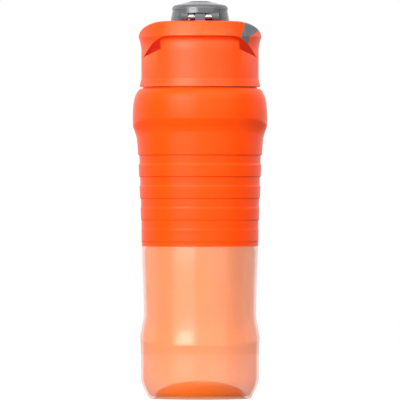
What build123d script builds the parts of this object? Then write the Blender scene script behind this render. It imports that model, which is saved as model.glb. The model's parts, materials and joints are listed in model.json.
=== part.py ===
"""Sports squeeze bottle with a ribbed grip sleeve and a push-button flip lid.

The origin is the centre of the base, +Z is up and lengths are in millimetres. The carry loop
and the cover's hinge are on the -Y side, the push button and its lock on the +Y side.
"""

import os

from build123d import *

os.makedirs("parts", exist_ok=True)

# ---------------------------------------------------------------- driving dimensions
reach = 60  # half-length of a cutting prism, longer than the bottle is wide

# Bottle, from the base up
bottle_wall = 1.6
punt_rise, punt_radius, punt_rim = 10.9, 27.5, 2.2
rest_inner, rest_outer = 29.5, 31.5
foot_radius, foot_chamfer, foot_height = 37.5, 10.5, 33.0
ridge_bulge, ridge_length = 0.44, 6.0
waist_radius, waist_height = 35.6, 53.0
body_radius, sleeve_bottom = 36.8, 97.8
sleeve_seat = 1.5  # depth of the recess that the sleeve's lower edge fills
shoulder_radius, shoulder_height = 41.0, 176.6
shoulder_top = 194.6

# Neck and thread
neck_radius, neck_wall = 30.2, 1.8
mouth_height = 209.7
thread_lead = 5.0
thread_depth, thread_base, thread_crest = 1.3, 2.2, 1.1
bottle_thread_start, bottle_thread_turns = 199.8, 1.5
lid_thread_turns = 1.2
thread_gap = 0.4
thread_root = 0.4  # how far a thread is sunk into its wall

# Grip sleeve
rib_count, rib_pitch = 5, 13.7
rib_top, rib_height = 161.4, 7.3
rib_waist, rib_growth, rib_flare = 37.2, 0.36, 0.053
rib_depths = (0.85, 0.75, 0.60, 0.30)
rib_tilt, rib_step = 0.12, 1.6
sleeve_top = 196.3
seat_radius, seat_height = 36.3, 1.0  # of the ring under the lid's collar

# Lid shell
collar_bottom, collar_radius = 197.5, 37.2
lip_radius, lip_height, lip_taper = 38.2, 1.2, 3.8
flare_start, loop_height, loop_radius = 221.0, 228.9, 38.94
crest_height, crest_half = 238.5, 22.0
front_slope, slope_start = 0.268, 2.0
skirt_radius, lid_deck_top = 35.0, 213.8
hollow_radius, lid_wall = 34.7, 2.4
deck_bottom, deck_top, well_radius = 228.8, 231.0, 22.2
ledge_width, ledge_thickness = 1.3, 1.0  # of the ring that the spout deck rests on
spout_gap = 0.1
loop_thickness = 3.64
edge_round = 1.4  # rounding of the lid's top edges
tower_half, tower_top, tower_back = 24.7, 236.0, 4.0
tower_lean_start, tower_wall = 220.0, 2.5
pocket_floor, pocket_end = 215.5, -2.0
arch_half, arch_height = 19.0, 229.4
arch_corner = (27.6, 226.7)
arch_foot, rim_inner = (35.8, 216.1), (24.7, 221.0)
accent_corners = (
    (25.2, 226.5), (29.2, 240.6), (38.9, 240.6), (38.9, 235.5),
    (36.3, 232.8), (34.1, 230.5), (31.7, 229.3), (30.2, 222.5),
)
core_corners = ((23.0, 235.5), (33.5, 233.8), (33.5, 227.6), (23.0, 230.6))
accent_skin = 0.9

# Inner cap, gasket and spout
lid_deck = 2.0
gasket_thickness, gasket_gap, gasket_width = 1.8, 0.15, 4.2
spout_radius, spout_tip, spout_bore, spout_top = 9.0, 8.2, 6.6, 247.2
flange_radius, flange_thickness = 13.0, 1.8
valve_seat, valve_radius, valve_thickness = 240.6, 7.5, 1.6
ring_bore = 5.2
slit_width, slit_length = 0.25, 7.0
oring_radius, oring_wire = 11.0, 0.8
grommet_width, grommet_height = 1.7, 1.6
vent_y, vent_radius, vent_stem = -20.0, 5.0, 1.4

# Cover and hinge
cover_base, cover_wall = 231.4, 1.7
cover_base_radius, cover_shoulder, cover_shoulder_height = 20.8, 17.7, 247.6
crown_radius, crown_height, crown_rim = 8.0, 252.0, 251.3
grip_start, grip_depth, grip_bottom, grip_top = 12.2, 0.5, 232.6, 246.4
hinge_y, hinge_z = -18.0, 241.5
pin_radius, pin_half = 1.0, 10.8
pin_clearance = 0.06
post_half, post_radius = 3.2, 2.1
ear_inner, ear_radius = 7.6, 2.6
coil_radius, coil_wire, coil_turns = 1.72, 0.34, 4
coil_start = 3.7

# Push button, latch and lock
button_z, button_travel = 220.5, 2.0
slide_half_x, slide_half_z, slide_gap = 6.8, 3.8, 0.2
slide_back, flange_depth, slide_front = 24.3, 1.5, 35.6
guide_front, guide_half_x, guide_half_z = 33.3, 10.0, 6.0
cap_half_x, cap_half_z, cap_gap, cap_radius = 7.3, 4.1, 0.3, 39.4
bezel_width, bezel_radius, bezel_seat = 1.6, 38.8, 35.4
hook_half, hook_back, hook_front, hook_nose = 4.5, 14.6, 16.6, 17.8
arm_bottom, arm_top, hook_top = 224.9, 227.6, 235.1
nose_height, ledge_y, ledge_height = 1.6, 18.0, 1.4
seat_back, seat_front = 19.5, 21.5
spring_radius, spring_wire, spring_turns = 2.7, 0.35, 5
spring_pocket, spring_depth = 3.4, 5.2
lock_x, lock_half, lock_half_z = 16.5, 2.5, 2.3
lock_travel, lock_floor, lock_face = 4.0, 31.4, 33.8
notch_bottom = 3.6  # of the slide's notch for the lock's tongue
tongue_tip, tongue_half_z, tongue_back, tongue_front = 11.1, 1.4, 28.2, 30.2

# Sizes that follow from the ones above
ridge_radius = foot_radius + ridge_bulge
recess_radius = body_radius - sleeve_seat
mouth_radius = neck_radius - neck_wall
lid_bore = neck_radius + thread_depth + thread_gap
cap_underside = lid_deck_top - lid_deck
loop_inner = loop_radius - loop_thickness


# ---------------------------------------------------------------- shared outlines
def bottle_outline():
    """Half section of the bottle's outside, from the axis round to the mouth and back."""
    punt = ThreePointArc(
        (0, punt_rise), (punt_radius * 0.52, punt_rise - 2.1), (punt_radius, punt_rim)
    )
    Line(punt @ 1, (rest_inner, 0))
    Line((rest_inner, 0), (rest_outer, 0))
    corner = ThreePointArc(
        (rest_outer, 0), (foot_radius - 2.4, foot_chamfer * 0.5), (foot_radius, foot_chamfer)
    )
    Line(corner @ 1, (foot_radius, foot_height))
    ridge = ThreePointArc(
        (foot_radius, foot_height),
        (ridge_radius, foot_height + ridge_length * 0.7),
        (foot_radius, foot_height + ridge_length * 1.2),
    )
    flare = Line(ridge @ 1, (waist_radius + 0.3, waist_height - 2.5))
    waist = TangentArc(flare @ 1, (waist_radius + 0.1, waist_height + 4), tangent=flare % 1)
    Line(waist @ 1, (body_radius, sleeve_bottom))
    Line((body_radius, sleeve_bottom), (recess_radius, sleeve_bottom))
    Line((recess_radius, sleeve_bottom), (recess_radius + 0.2, sleeve_bottom + 22))
    Line((recess_radius + 0.2, sleeve_bottom + 22), (recess_radius + 2.0, rib_top))
    shoulder = ThreePointArc(
        (recess_radius + 2.0, rib_top),
        (shoulder_radius, shoulder_height + 2),
        (neck_radius + 6.0, shoulder_top - 0.8),
    )
    Line(shoulder @ 1, (neck_radius, shoulder_top))
    Line((neck_radius, shoulder_top), (neck_radius, mouth_height))
    Line((neck_radius, mouth_height), (0, mouth_height))
    Line((0, mouth_height), (0, punt_rise))


def sleeve_outline():
    """Half section of the sleeve's outside: stepped ribs below a rounded shoulder."""
    points = [(0, sleeve_bottom), (rib_waist - 0.15, sleeve_bottom)]
    for rib in reversed(range(rib_count)):
        top = rib_top - rib * rib_pitch
        steps_up = rib_count - 1 - rib
        radius = rib_waist + rib_growth * steps_up + rib_flare * steps_up**2
        if rib < rib_count - 1:
            recess = radius - rib_depths[rib]
            recess_top = top - rib_height
            recess_bottom = top - rib_pitch + rib_step / 2
            points += [(recess - rib_tilt, recess_bottom), (recess + rib_tilt, recess_top)]
            points += [(radius - rib_tilt, recess_top)]
        points += [(radius + rib_tilt, top - rib_step / 2)]
    Polyline(*points)
    top_rib = points[-1]
    crease = (top_rib[0] + 0.4, rib_top + rib_step * 2.2)
    kink = (shoulder_radius + 1.4, shoulder_height - 4.6)
    Line(top_rib, crease)
    Line(crease, kink)
    belly = ThreePointArc(
        kink,
        (shoulder_radius + 1.68, shoulder_height + 1.2),
        (shoulder_radius + 1.25, shoulder_height + 10),
    )
    crown = TangentArc(belly @ 1, (shoulder_radius - 2.7, sleeve_top), tangent=belly % 1)
    Polyline(
        crown @ 1,
        (seat_radius, sleeve_top),
        (seat_radius, sleeve_top + seat_height),
        (0, sleeve_top + seat_height),
        (0, sleeve_bottom),
    )


def crest_outline(inset):
    """Front view of the lid's arched top, drawn in by an inset."""
    half, foot = loop_radius - inset, collar_bottom - 1
    rise = crest_height - loop_height - inset
    run = half - crest_half
    Line((-half, foot), (half, foot))
    Line((half, foot), (half, loop_height))
    EllipticalCenterArc((crest_half, loop_height), run, rise, start_angle=0, arc_size=90)
    Line((crest_half, crest_height - inset), (-crest_half, crest_height - inset))
    EllipticalCenterArc((-crest_half, loop_height), run, rise, start_angle=90, arc_size=90)
    Line((-half, loop_height), (-half, foot))


def slope_cut(drop):
    """Side view of what is cut off above the lid's sloping front, lowered by a drop."""
    high = crest_height + 10
    Polyline(
        (slope_start, crest_height - drop),
        (reach, crest_height - drop - front_slope * (reach - slope_start)),
        (reach, high),
        (slope_start, high),
        close=True,
    )


def arch_outline():
    """Front view of the opening under the carry loop, down to the collar's rim."""
    Line((-arch_half, arch_height), (arch_half, arch_height))
    right = Spline(
        (arch_half, arch_height), arch_corner, arch_foot, tangents=((1, 0), (0.53, -0.85))
    )
    Line(right @ 1, rim_inner)
    Line(rim_inner, (-rim_inner[0], rim_inner[1]))
    Line((-rim_inner[0], rim_inner[1]), (-arch_foot[0], arch_foot[1]))
    Spline(
        (-arch_foot[0], arch_foot[1]),
        (-arch_corner[0], arch_corner[1]),
        (-arch_half, arch_height),
        tangents=((0.53, 0.85), (1, 0)),
    )


def box(x_span, y_span, z_span, mode=Mode.ADD):
    """A block given by its span along each axis."""
    spans = (x_span, y_span, z_span)
    sizes = [high - low for low, high in spans]
    with Locations(tuple((low + high) / 2 for low, high in spans)):
        Box(*sizes, mode=mode)


def both_ways(half):
    return (-half, half)


def screw_thread(radius, height, turns, outward):
    """A trapezoid thread, sunk a little into its wall, growing outwards or inwards."""
    with BuildPart() as thread:
        with BuildLine() as path:
            Helix(thread_lead, thread_lead * turns, radius, center=(0, 0, height))
        with BuildSketch(Plane(path.line @ 0, x_dir=(outward, 0, 0), z_dir=path.line % 0)):
            with BuildLine():
                Polyline(
                    (-thread_root, -thread_base / 2),
                    (thread_depth, -thread_crest / 2),
                    (thread_depth, thread_crest / 2),
                    (-thread_root, thread_base / 2),
                    close=True,
                )
            make_face()
        sweep(path=path.line, is_frenet=True)
    return thread.part


def export(name, part):
    part.label = name
    export_step(part, f"parts/{name}.step")


# ---------------------------------------------------------------- bottle
bottle_thread = screw_thread(neck_radius, bottle_thread_start, bottle_thread_turns, 1)
with BuildPart() as bottle:
    with BuildSketch(Plane.XZ):
        with BuildLine():
            bottle_outline()
        make_face()
    revolve(axis=Axis.Z)
    with BuildSketch(Plane.XZ):
        with BuildLine():
            bottle_outline()
        make_face()
        mirror(about=Plane.YZ)
        offset(amount=-bottle_wall, kind=Kind.INTERSECTION, mode=Mode.REPLACE)
        split(bisect_by=Plane.YZ, keep=Keep.TOP)
    revolve(axis=Axis.Z, mode=Mode.SUBTRACT)
    with BuildSketch(Plane.XY.offset(mouth_height - 4 * bottle_wall)):
        Circle(mouth_radius)
    extrude(amount=4 * bottle_wall + 1, mode=Mode.SUBTRACT)
    add(bottle_thread)
export("bottle", bottle.part)

# ---------------------------------------------------------------- grip sleeve
with BuildPart() as grip_sleeve:
    with BuildSketch(Plane.XZ):
        with BuildLine():
            sleeve_outline()
        make_face()
    revolve(axis=Axis.Z)
    with BuildSketch(Plane.XZ):
        with BuildLine():
            bottle_outline()
        make_face()
    revolve(axis=Axis.Z, mode=Mode.SUBTRACT)
export("grip_sleeve", grip_sleeve.part)

# ---------------------------------------------------------------- gasket (rises with the lid)
gasket_bottom = mouth_height + gasket_gap
with BuildPart() as lid_gasket:
    with BuildSketch(Plane.XY.offset(gasket_bottom)):
        Circle(lid_bore - gasket_gap)
        Circle(lid_bore - gasket_gap - gasket_width, mode=Mode.SUBTRACT)
    extrude(amount=gasket_thickness)
export("lid_gasket", lid_gasket.part)

# ---------------------------------------------------------------- inner cap
vent_hole = vent_stem + 0.1
lid_thread_start = bottle_thread_start + thread_lead / 2
lid_thread = screw_thread(lid_bore, lid_thread_start, lid_thread_turns, -1)
with BuildPart() as lid_base:
    with BuildSketch(Plane.XY.offset(collar_bottom + 0.5)):
        Circle(skirt_radius)
    extrude(amount=lid_deck_top - collar_bottom - 0.5)
    with BuildSketch(Plane.XY.offset(collar_bottom + 0.5)):
        Circle(lid_bore)
    extrude(amount=cap_underside - collar_bottom - 0.5, mode=Mode.SUBTRACT)
    with BuildSketch(Plane.XY.offset(cap_underside)):
        Circle(spout_radius + spout_gap)
        with Locations((0, vent_y)):
            Circle(vent_hole)
    extrude(amount=lid_deck, mode=Mode.SUBTRACT)
    add(lid_thread)
export("lid_base", lid_base.part)

# ---------------------------------------------------------------- button, latch and lock shapes
slide_z = (button_z - slide_half_z, button_z + slide_half_z)
cap_z = (button_z - cap_half_z, button_z + cap_half_z)
cap_hole_x, cap_hole_z = cap_half_x + cap_gap, cap_half_z + cap_gap
bezel_x, bezel_z = cap_hole_x + bezel_width, cap_hole_z + bezel_width
tongue_z = (button_z - tongue_half_z, button_z + tongue_half_z)

with BuildPart() as latch_slide:
    box(both_ways(slide_half_x), (slide_back, slide_front), slide_z)
    box(
        both_ways(slide_half_x + 1.5),
        (slide_back, slide_back + flange_depth),
        (slide_z[0] - 1.1, slide_z[1] + 1.1),
    )
    box(both_ways(hook_half), (hook_back, slide_back + flange_depth), (arm_bottom, arm_top))
    box(both_ways(hook_half), (hook_back, hook_front), (arm_bottom, hook_top))
    box(both_ways(hook_half), (hook_front, hook_nose), (hook_top - nose_height, hook_top))
    nose_edge = latch_slide.edges().filter_by(Axis.X).group_by(Axis.Z)[-1].sort_by(Axis.Y)[-1]
    chamfer(nose_edge, 0.8)
    with BuildSketch(Plane.XZ.offset(-slide_back)):
        with Locations((0, button_z)):
            Circle(spring_pocket)
    extrude(amount=-spring_depth, mode=Mode.SUBTRACT)
    box(
        (notch_bottom, slide_half_x),
        (tongue_back - 0.3, tongue_front + 0.3),
        (tongue_z[0] - 0.4, tongue_z[1] + 0.4),
        mode=Mode.SUBTRACT,
    )
export("latch_slide", latch_slide.part)

with BuildPart() as button_cap:
    with BuildSketch(Plane.XY.offset(cap_z[0])):
        Circle(cap_radius)
    extrude(amount=2 * cap_half_z)
    box(both_ways(cap_half_x), (slide_front, reach), cap_z, mode=Mode.INTERSECT)
    fillet(button_cap.edges().filter_by(Axis.Y), 1.2)
    front = button_cap.faces().sort_by(Axis.Y)[-1]
    fillet(front.edges(), 0.5)
export("button_cap", button_cap.part)

with BuildPart() as button_bezel:
    with BuildSketch(Plane.XY.offset(button_z - bezel_z)):
        Circle(bezel_radius)
        Circle(bezel_seat, mode=Mode.SUBTRACT)
    extrude(amount=2 * bezel_z)
    with BuildSketch(Plane.XZ):
        with Locations((0, button_z)):
            RectangleRounded(2 * bezel_x, 2 * bezel_z, 2.2)
            RectangleRounded(2 * cap_hole_x, 2 * cap_hole_z, 1.4, mode=Mode.SUBTRACT)
    extrude(amount=-reach, mode=Mode.INTERSECT)
export("button_bezel", button_bezel.part)

with BuildPart() as button_spring:
    with BuildLine() as coil_path:
        Helix(
            pitch=(slide_back + spring_depth - seat_front - 2 * spring_wire) / spring_turns,
            height=slide_back + spring_depth - seat_front - 2 * spring_wire - 0.1,
            radius=spring_radius,
            center=(0, seat_front + spring_wire + 0.05, button_z),
            direction=(0, 1, 0),
        )
    with BuildSketch(Plane(coil_path.line @ 0, z_dir=coil_path.line % 0)):
        Circle(spring_wire)
    sweep(path=coil_path.line, is_frenet=True)
export("button_spring", button_spring.part)

lock_span = (lock_x - lock_half, lock_x + lock_half)
stem_span = (lock_x - 1.5, lock_x + 1.5)
with BuildPart() as lock_slide:
    box((tongue_tip, stem_span[1]), (tongue_back, tongue_front), tongue_z)
    box(stem_span, (tongue_front, lock_floor + 0.2), tongue_z)
    box(
        lock_span,
        (lock_floor + 0.2, lock_face),
        (button_z - lock_half_z, button_z + lock_half_z),
    )
    lock_top = lock_slide.faces().sort_by(Axis.Y)[-1]
    chamfer(lock_top.edges(), 0.5)
    with BuildSketch(Plane.XZ.offset(-lock_face)):
        with Locations((lock_x, button_z)):
            with GridLocations(1.4, 0, 3, 1):
                Rectangle(0.5, 2.6)
    extrude(amount=0.4, mode=Mode.SUBTRACT)
export("lock_slide", lock_slide.part)

# ---------------------------------------------------------------- lid shell helpers
# The tower is the front of the lid's core, flush with the collar and leaning back behind the loop.
with BuildPart() as tower:
    with BuildSketch(Plane.XZ):
        with BuildLine():
            lean = ThreePointArc(
                (collar_radius, tower_lean_start),
                (collar_radius - 2.6, arch_height - 0.4),
                (tower_half + 0.6, tower_top),
            )
            Polyline(
                lean @ 1,
                (0, tower_top),
                (0, lid_deck_top),
                (collar_radius, lid_deck_top),
                lean @ 0,
            )
        make_face()
    revolve(axis=Axis.Z)
    box(both_ways(tower_half), (-reach, 0), (lid_deck_top, tower_top), mode=Mode.INTERSECT)

# The hollow under the lid's deck: a front half below the slope and a back half inside the tower.
with BuildPart() as lid_hollow:
    with BuildSketch(Plane.XY.offset(lid_deck_top)):
        Circle(hollow_radius)
        with Locations((0, tower_back - reach / 2)):
            Rectangle(2 * reach, reach, mode=Mode.SUBTRACT)
    extrude(amount=reach)
    with BuildSketch(Plane.XZ):
        with BuildLine():
            crest_outline(lid_wall)
        make_face()
    extrude(amount=reach, both=True, mode=Mode.INTERSECT)
    with BuildSketch(Plane.YZ):
        with BuildLine():
            slope_cut(lid_wall + 0.6)
        make_face()
    extrude(amount=reach, both=True, mode=Mode.SUBTRACT)
    with BuildSketch(Plane.XY.offset(deck_bottom)):
        Circle(well_radius + lid_wall)
    extrude(amount=reach, mode=Mode.SUBTRACT)
    with BuildSketch(Plane.XY.offset(lid_deck_top)):
        Circle(collar_radius - tower_wall - 1.5)
        Rectangle(2 * (tower_half - tower_wall), 2 * reach, mode=Mode.INTERSECT)
        with Locations((0, reach / 2 + tower_back)):
            Rectangle(2 * reach, reach, mode=Mode.SUBTRACT)
    extrude(amount=tower_lean_start - 1 - lid_deck_top)
    with BuildSketch(Plane.XY.offset(tower_lean_start - 1)):
        Circle(collar_radius - tower_wall - 5.5)
        Rectangle(2 * (tower_half - tower_wall), 2 * reach, mode=Mode.INTERSECT)
        with Locations((0, reach / 2 + tower_back)):
            Rectangle(2 * reach, reach, mode=Mode.SUBTRACT)
    extrude(amount=deck_bottom - tower_lean_start + 1)
    # Left solid: the button's guide and the lock's housing.
    guide_z = (button_z - guide_half_z, button_z + guide_half_z)
    box(
        both_ways(guide_half_x),
        (slide_back + flange_depth + slide_gap, reach),
        guide_z,
        mode=Mode.SUBTRACT,
    )
    box(
        (guide_half_x - 1, lock_span[1] + 2),
        (slide_back + flange_depth + slide_gap, reach),
        (button_z - 4, button_z + 4),
        mode=Mode.SUBTRACT,
    )

# The outside of the lid as one solid, before anything is cut from it
with BuildPart() as lid_outer:
    with BuildSketch(Plane.XZ):
        with BuildLine():
            wall = Polyline(
                (0, crest_height + 1),
                (0, collar_bottom),
                (lip_radius, collar_bottom),
                (lip_radius, collar_bottom + lip_height),
                (collar_radius, collar_bottom + lip_height + lip_taper),
                (collar_radius, flare_start),
            )
            flare = ThreePointArc(
                wall @ 1,
                (collar_radius + 0.55, (flare_start + loop_height) / 2),
                (loop_radius, loop_height),
            )
            Polyline(flare @ 1, (loop_radius, crest_height + 1), wall @ 0)
        make_face()
    revolve(axis=Axis.Z)
    with BuildSketch(Plane.XZ):
        with BuildLine():
            crest_outline(0)
        make_face()
    extrude(amount=reach, both=True, mode=Mode.INTERSECT)
    with BuildSketch(Plane.YZ):
        with BuildLine():
            slope_cut(0)
        make_face()
    extrude(amount=reach, both=True, mode=Mode.SUBTRACT)
    top_edges = lid_outer.edges().filter_by(
        lambda edge: edge.bounding_box().min.Z > loop_height - 0.5 and edge.length > 3
    )
    fillet(top_edges, edge_round)

# ---------------------------------------------------------------- loop accent
def loop_band(thin):
    """The ring that the carry loop is cut from, thinned on both faces."""
    with BuildPart() as band:
        with BuildSketch(Plane.XY.offset(rim_inner[1])):
            Circle(loop_radius - thin)
            Circle(loop_inner + thin, mode=Mode.SUBTRACT)
        extrude(amount=crest_height - rim_inner[1])
    return band.part


with BuildPart() as accent_core:
    add(loop_band(accent_skin))
    with BuildSketch(Plane.XZ):
        with BuildLine():
            Polyline(*core_corners, close=True)
        make_face()
    extrude(amount=reach, mode=Mode.INTERSECT)

# A soft pad that wraps the right-hand end of the loop around the core left on it.
with BuildPart() as loop_accent:
    add(loop_band(0))
    with BuildSketch(Plane.XZ):
        with BuildLine():
            Polyline(*accent_corners, close=True)
        make_face()
    extrude(amount=reach, mode=Mode.INTERSECT)
    add(lid_outer.part, mode=Mode.INTERSECT)
    with BuildSketch(Plane.XZ):
        with BuildLine():
            arch_outline()
        make_face()
    extrude(amount=reach, mode=Mode.SUBTRACT)
    add(accent_core.part, mode=Mode.SUBTRACT)
export("loop_accent", loop_accent.part)

# ---------------------------------------------------------------- lid shell
with BuildPart() as lid_shell:
    add(lid_outer.part)

    # Seat of the inner cap
    with BuildSketch(Plane.XY.offset(collar_bottom)):
        Circle(skirt_radius)
    extrude(amount=lid_deck_top - collar_bottom, mode=Mode.SUBTRACT)
    # Finger pocket behind the loop
    with BuildSketch(Plane.XY.offset(pocket_floor)):
        Circle(loop_inner)
        with Locations((0, reach / 2 + pocket_end)):
            Rectangle(2 * reach, reach, mode=Mode.SUBTRACT)
    extrude(amount=reach, mode=Mode.SUBTRACT)
    # Opening under the loop
    with BuildSketch(Plane.XZ.offset(8)):
        with BuildLine():
            arch_outline()
        make_face()
    extrude(amount=reach, mode=Mode.SUBTRACT)
    add(tower.part)
    # Core between the tower and the front half
    box(
        both_ways(tower_half), (pocket_end - 6, pocket_end + 1), (lid_deck_top, tower_top)
    )
    # Well that the cover closes
    with BuildSketch(Plane.XY.offset(deck_top)):
        Circle(well_radius)
    extrude(amount=reach, mode=Mode.SUBTRACT)
    add(lid_hollow.part, mode=Mode.SUBTRACT)

    # Hinge post and spring seat
    box(
        both_ways(post_half),
        (hinge_y - post_radius, hinge_y + post_radius),
        (deck_top - 1, hinge_z),
    )
    with BuildSketch(Plane.YZ):
        with Locations((hinge_y, hinge_z)):
            Circle(post_radius)
    extrude(amount=post_half, both=True)
    box(both_ways(8), (seat_back, seat_front), (button_z - 4, deck_bottom + 0.5))
    box(
        both_ways(hook_half + 0.4),
        (seat_back, seat_front),
        (arm_bottom - 0.3, deck_bottom - 0.1),
        mode=Mode.SUBTRACT,
    )

    add(loop_accent.part, mode=Mode.SUBTRACT)

    # Holes for the pin, spout, air vent, latch hook, button, bezel and lock
    with BuildSketch(Plane.YZ):
        with Locations((hinge_y, hinge_z)):
            Circle(pin_radius)
    extrude(amount=post_half, both=True, mode=Mode.SUBTRACT)
    with BuildSketch(Plane.XY.offset(deck_bottom - 1)):
        Circle(spout_radius + spout_gap)
        with Locations((13, 0)):
            Circle(0.9)
    extrude(amount=6, mode=Mode.SUBTRACT)
    box(
        both_ways(hook_half + 0.4),
        (hook_back - button_travel - 0.3, hook_front + 0.3),
        (deck_bottom - 1, deck_top + 1),
        mode=Mode.SUBTRACT,
    )
    box(
        both_ways(slide_half_x + slide_gap),
        (slide_back, reach),
        (slide_z[0] - slide_gap, slide_z[1] + slide_gap),
        mode=Mode.SUBTRACT,
    )
    box(
        both_ways(cap_hole_x),
        (guide_front, reach),
        (button_z - cap_hole_z, button_z + cap_hole_z),
        mode=Mode.SUBTRACT,
    )
    add(button_bezel.part, mode=Mode.SUBTRACT)
    lock_low = lock_span[0] - lock_travel - 0.3
    box(
        (lock_low, reach),
        (lock_floor, reach),
        (button_z - lock_half_z - 0.3, button_z + lock_half_z + 0.3),
        mode=Mode.SUBTRACT,
    )
    box(
        (stem_span[0] - lock_travel - 0.2, stem_span[1] + 0.2),
        (tongue_front, lock_floor),
        (tongue_z[0] - 0.2, tongue_z[1] + 0.2),
        mode=Mode.SUBTRACT,
    )
    box(
        (0, stem_span[1] + 0.2),
        (tongue_back - 0.2, tongue_front + 0.2),
        (tongue_z[0] - 0.2, tongue_z[1] + 0.2),
        mode=Mode.SUBTRACT,
    )

# The floor of the well is an insert of its own, with the hinge post and the spring seat on it
with BuildPart() as deck_region:
    with BuildSketch(Plane.XY.offset(deck_bottom)):
        Circle(well_radius)
    extrude(amount=reach)
    box(both_ways(8), (seat_back, seat_front), (button_z - 4, deck_bottom))
with BuildPart() as deck_ledge:
    with BuildSketch(Plane.XY.offset(deck_bottom - ledge_thickness)):
        Circle(well_radius + 1.8)
        Circle(well_radius - ledge_width, mode=Mode.SUBTRACT)
    extrude(amount=ledge_thickness)
    box(
        both_ways(8.4),
        (0, reach),
        (deck_bottom - ledge_thickness, deck_bottom),
        mode=Mode.SUBTRACT,
    )
with BuildPart() as spout_deck:
    add(lid_shell.part)
    add(deck_region.part, mode=Mode.INTERSECT)
export("spout_deck", spout_deck.part)

with BuildPart() as lid_body:
    add(lid_shell.part)
    add(deck_region.part, mode=Mode.SUBTRACT)
    add(deck_ledge.part)
export("lid_shell", lid_body.part)

# ---------------------------------------------------------------- spout and its seals
with BuildPart() as spout:
    with BuildSketch(Plane.XZ):
        with BuildLine():
            Polyline(
                (spout_bore, cap_underside - 1),
                (spout_radius, cap_underside - 1),
                (spout_radius, lid_deck_top),
                (flange_radius, lid_deck_top),
                (flange_radius, lid_deck_top + flange_thickness),
                (spout_radius, lid_deck_top + flange_thickness),
                (spout_radius, deck_top + grommet_height),
                (spout_tip, spout_top - 5),
                (spout_tip + 0.5, spout_top - 2.5),
                (spout_tip + 0.3, spout_top - 0.6),
                (spout_tip - 0.3, spout_top),
                (valve_radius, spout_top),
                (valve_radius, valve_seat),
                (spout_bore, valve_seat - 0.8),
                close=True,
            )
        make_face()
    revolve(axis=Axis.Z)
    with BuildSketch(Plane.XY.offset(lid_deck_top)):
        Circle(oring_radius + oring_wire)
        Circle(oring_radius - oring_wire, mode=Mode.SUBTRACT)
    extrude(amount=1.8 * oring_wire / 2 + 0.3, mode=Mode.SUBTRACT)
export("spout", spout.part)

with BuildPart() as spout_oring:
    with BuildSketch(Plane.XZ):
        with Locations((oring_radius, lid_deck_top + 0.5)):
            Rectangle(2 * oring_wire, 1.0)
    revolve(axis=Axis.Z)
    fillet(spout_oring.edges(), 0.3)
export("spout_oring", spout_oring.part)

with BuildPart() as spout_grommet:
    with BuildSketch(Plane.XY.offset(deck_top)):
        Circle(spout_radius + grommet_width)
        Circle(spout_radius, mode=Mode.SUBTRACT)
    extrude(amount=grommet_height)
    grommet_rim = spout_grommet.edges().group_by(Axis.Z)[-1].sort_by(SortBy.RADIUS)[-1]
    chamfer(grommet_rim, 0.8)
export("spout_grommet", spout_grommet.part)

with BuildPart() as spout_valve:
    with BuildSketch(Plane.XZ):
        with BuildLine():
            dish = ThreePointArc(
                (0, valve_seat + 0.3),
                (valve_radius * 0.4, valve_seat + 0.45),
                (ring_bore, valve_seat + 0.9),
            )
            Polyline(
                dish @ 1,
                (ring_bore, valve_seat),
                (valve_radius, valve_seat),
                (valve_radius, valve_seat + valve_thickness),
                (ring_bore, valve_seat + valve_thickness),
            )
            top = ThreePointArc(
                (ring_bore, valve_seat + valve_thickness),
                (valve_radius * 0.4, valve_seat + 1.1),
                (0, valve_seat + 0.95),
            )
            Line(top @ 1, (0, valve_seat + 0.3))
        make_face()
    revolve(axis=Axis.Z)
    for turn in (0, 90):
        with BuildSketch(Plane.XY.offset(valve_seat)):
            Rectangle(slit_length, slit_width, rotation=turn)
        extrude(amount=valve_thickness, mode=Mode.SUBTRACT)
export("spout_valve", spout_valve.part)

with BuildPart() as valve_ring:
    with BuildSketch(Plane.XY.offset(valve_seat + valve_thickness)):
        Circle(valve_radius)
        Circle(ring_bore, mode=Mode.SUBTRACT)
    extrude(amount=spout_top - valve_seat - valve_thickness)
    ring_mouth = valve_ring.edges().group_by(Axis.Z)[-1].sort_by(SortBy.RADIUS)[0]
    chamfer(ring_mouth, 1.2)
export("valve_ring", valve_ring.part)

with BuildPart() as vent_valve:
    with BuildSketch(Plane.XZ):
        with BuildLine():
            skirt = ThreePointArc(
                (vent_radius, cap_underside - 1.4),
                (vent_radius * 0.6, cap_underside - 0.8),
                (vent_stem, cap_underside - 0.5),
            )
            Polyline(
                skirt @ 1,
                (vent_stem, lid_deck_top + 0.1),
                (vent_stem + 0.8, lid_deck_top + 0.5),
                (vent_stem * 0.5, lid_deck_top + 2.2),
                (0, lid_deck_top + 2.2),
                (0, cap_underside - 1.9),
                (vent_radius * 0.5, cap_underside - 1.8),
                (vent_radius, cap_underside - 1.8),
                skirt @ 0,
            )
        make_face()
    revolve(axis=Axis.Z)
vent_part = Pos(0, vent_y, 0) * vent_valve.part
export("vent_valve", vent_part)

# ---------------------------------------------------------------- flip cover
def cover_outline(inset):
    """Half section of the dome, drawn in by an inset."""
    corner = ThreePointArc(
        (cover_shoulder - inset, cover_shoulder_height - inset),
        (cover_shoulder - inset - 0.9, cover_shoulder_height + 1.3 - inset),
        (cover_shoulder - inset - 2.9, cover_shoulder_height + 2.0 - inset),
    )
    Polyline(
        corner @ 1,
        (crown_radius, crown_rim - inset),
        (0, crown_rim + 0.2 - inset),
        (0, cover_base),
    )
    Line((0, cover_base), (cover_base_radius - inset, cover_base))
    Line((cover_base_radius - inset, cover_base), corner @ 0)


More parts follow.
